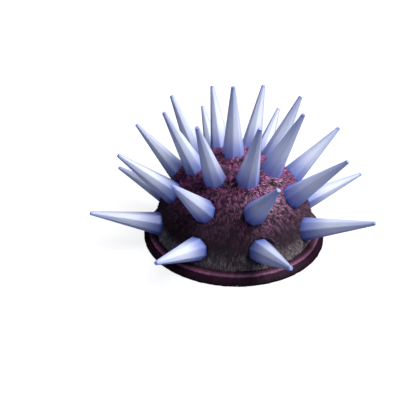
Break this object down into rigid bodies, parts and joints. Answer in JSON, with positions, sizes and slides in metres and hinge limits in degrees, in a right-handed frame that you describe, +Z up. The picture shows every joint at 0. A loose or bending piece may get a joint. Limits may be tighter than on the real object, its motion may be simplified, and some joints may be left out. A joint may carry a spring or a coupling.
{
  "type": "sea urchin",
  "caption": "Domed sea urchin with stout tapering spines in tiers, a short coat, and a margin of flattened spines that it rests on.",
  "frame": {"origin": "on the floor, under the middle of the whole model's box", "axes": "+Z up through the dome, -Y towards the viewer, +X to the viewer's right"},
  "size_m": [0.133, 0.132, 0.0753],
  "materials": {
    "coat": "short velvety coat of fine spines, magenta to near black, grey-olive at the margin",
    "stout_spine": "smooth pearly blue-white in eight flat sides, bluer at the base",
    "margin": "dark plum, satin, with paler plum inner tips",
    "mouth": "soft wrinkled skin",
    "tooth": "chalky white, worn smooth"
  },
  "bodies": {
    "root": {"apical_disc": "coat", "crown_plate_1": "coat", "crown_plate_2": "coat", "crown_plate_3": "coat", "crown_plate_4": "coat", "crown_plate_5": "coat", "crown_plate_6": "coat", "crown_plate_7": "coat", "crown_plate_8": "coat", "shoulder_plate_1": "coat", "shoulder_plate_2": "coat", "shoulder_plate_3": "coat", "shoulder_plate_4": "coat", "shoulder_plate_5": "coat", "shoulder_plate_6": "coat", "shoulder_plate_7": "coat", "shoulder_plate_8": "coat", "ambital_plate_1": "coat", "ambital_plate_2": "coat", "ambital_plate_3": "coat", "ambital_plate_4": "coat", "ambital_plate_5": "coat", "ambital_plate_6": "coat", "ambital_plate_7": "coat", "ambital_plate_8": "coat", "margin_1": "margin", "margin_2": "margin", "margin_3": "margin", "margin_4": "margin", "margin_5": "margin", "margin_6": "margin", "margin_7": "margin", "margin_8": "margin", "oral_plate_1": "margin", "oral_plate_2": "margin", "oral_plate_3": "margin", "oral_plate_4": "margin", "oral_plate_5": "margin", "mouth_ring": "mouth", "jaws": "mouth"}
  },
  "joints": []
}
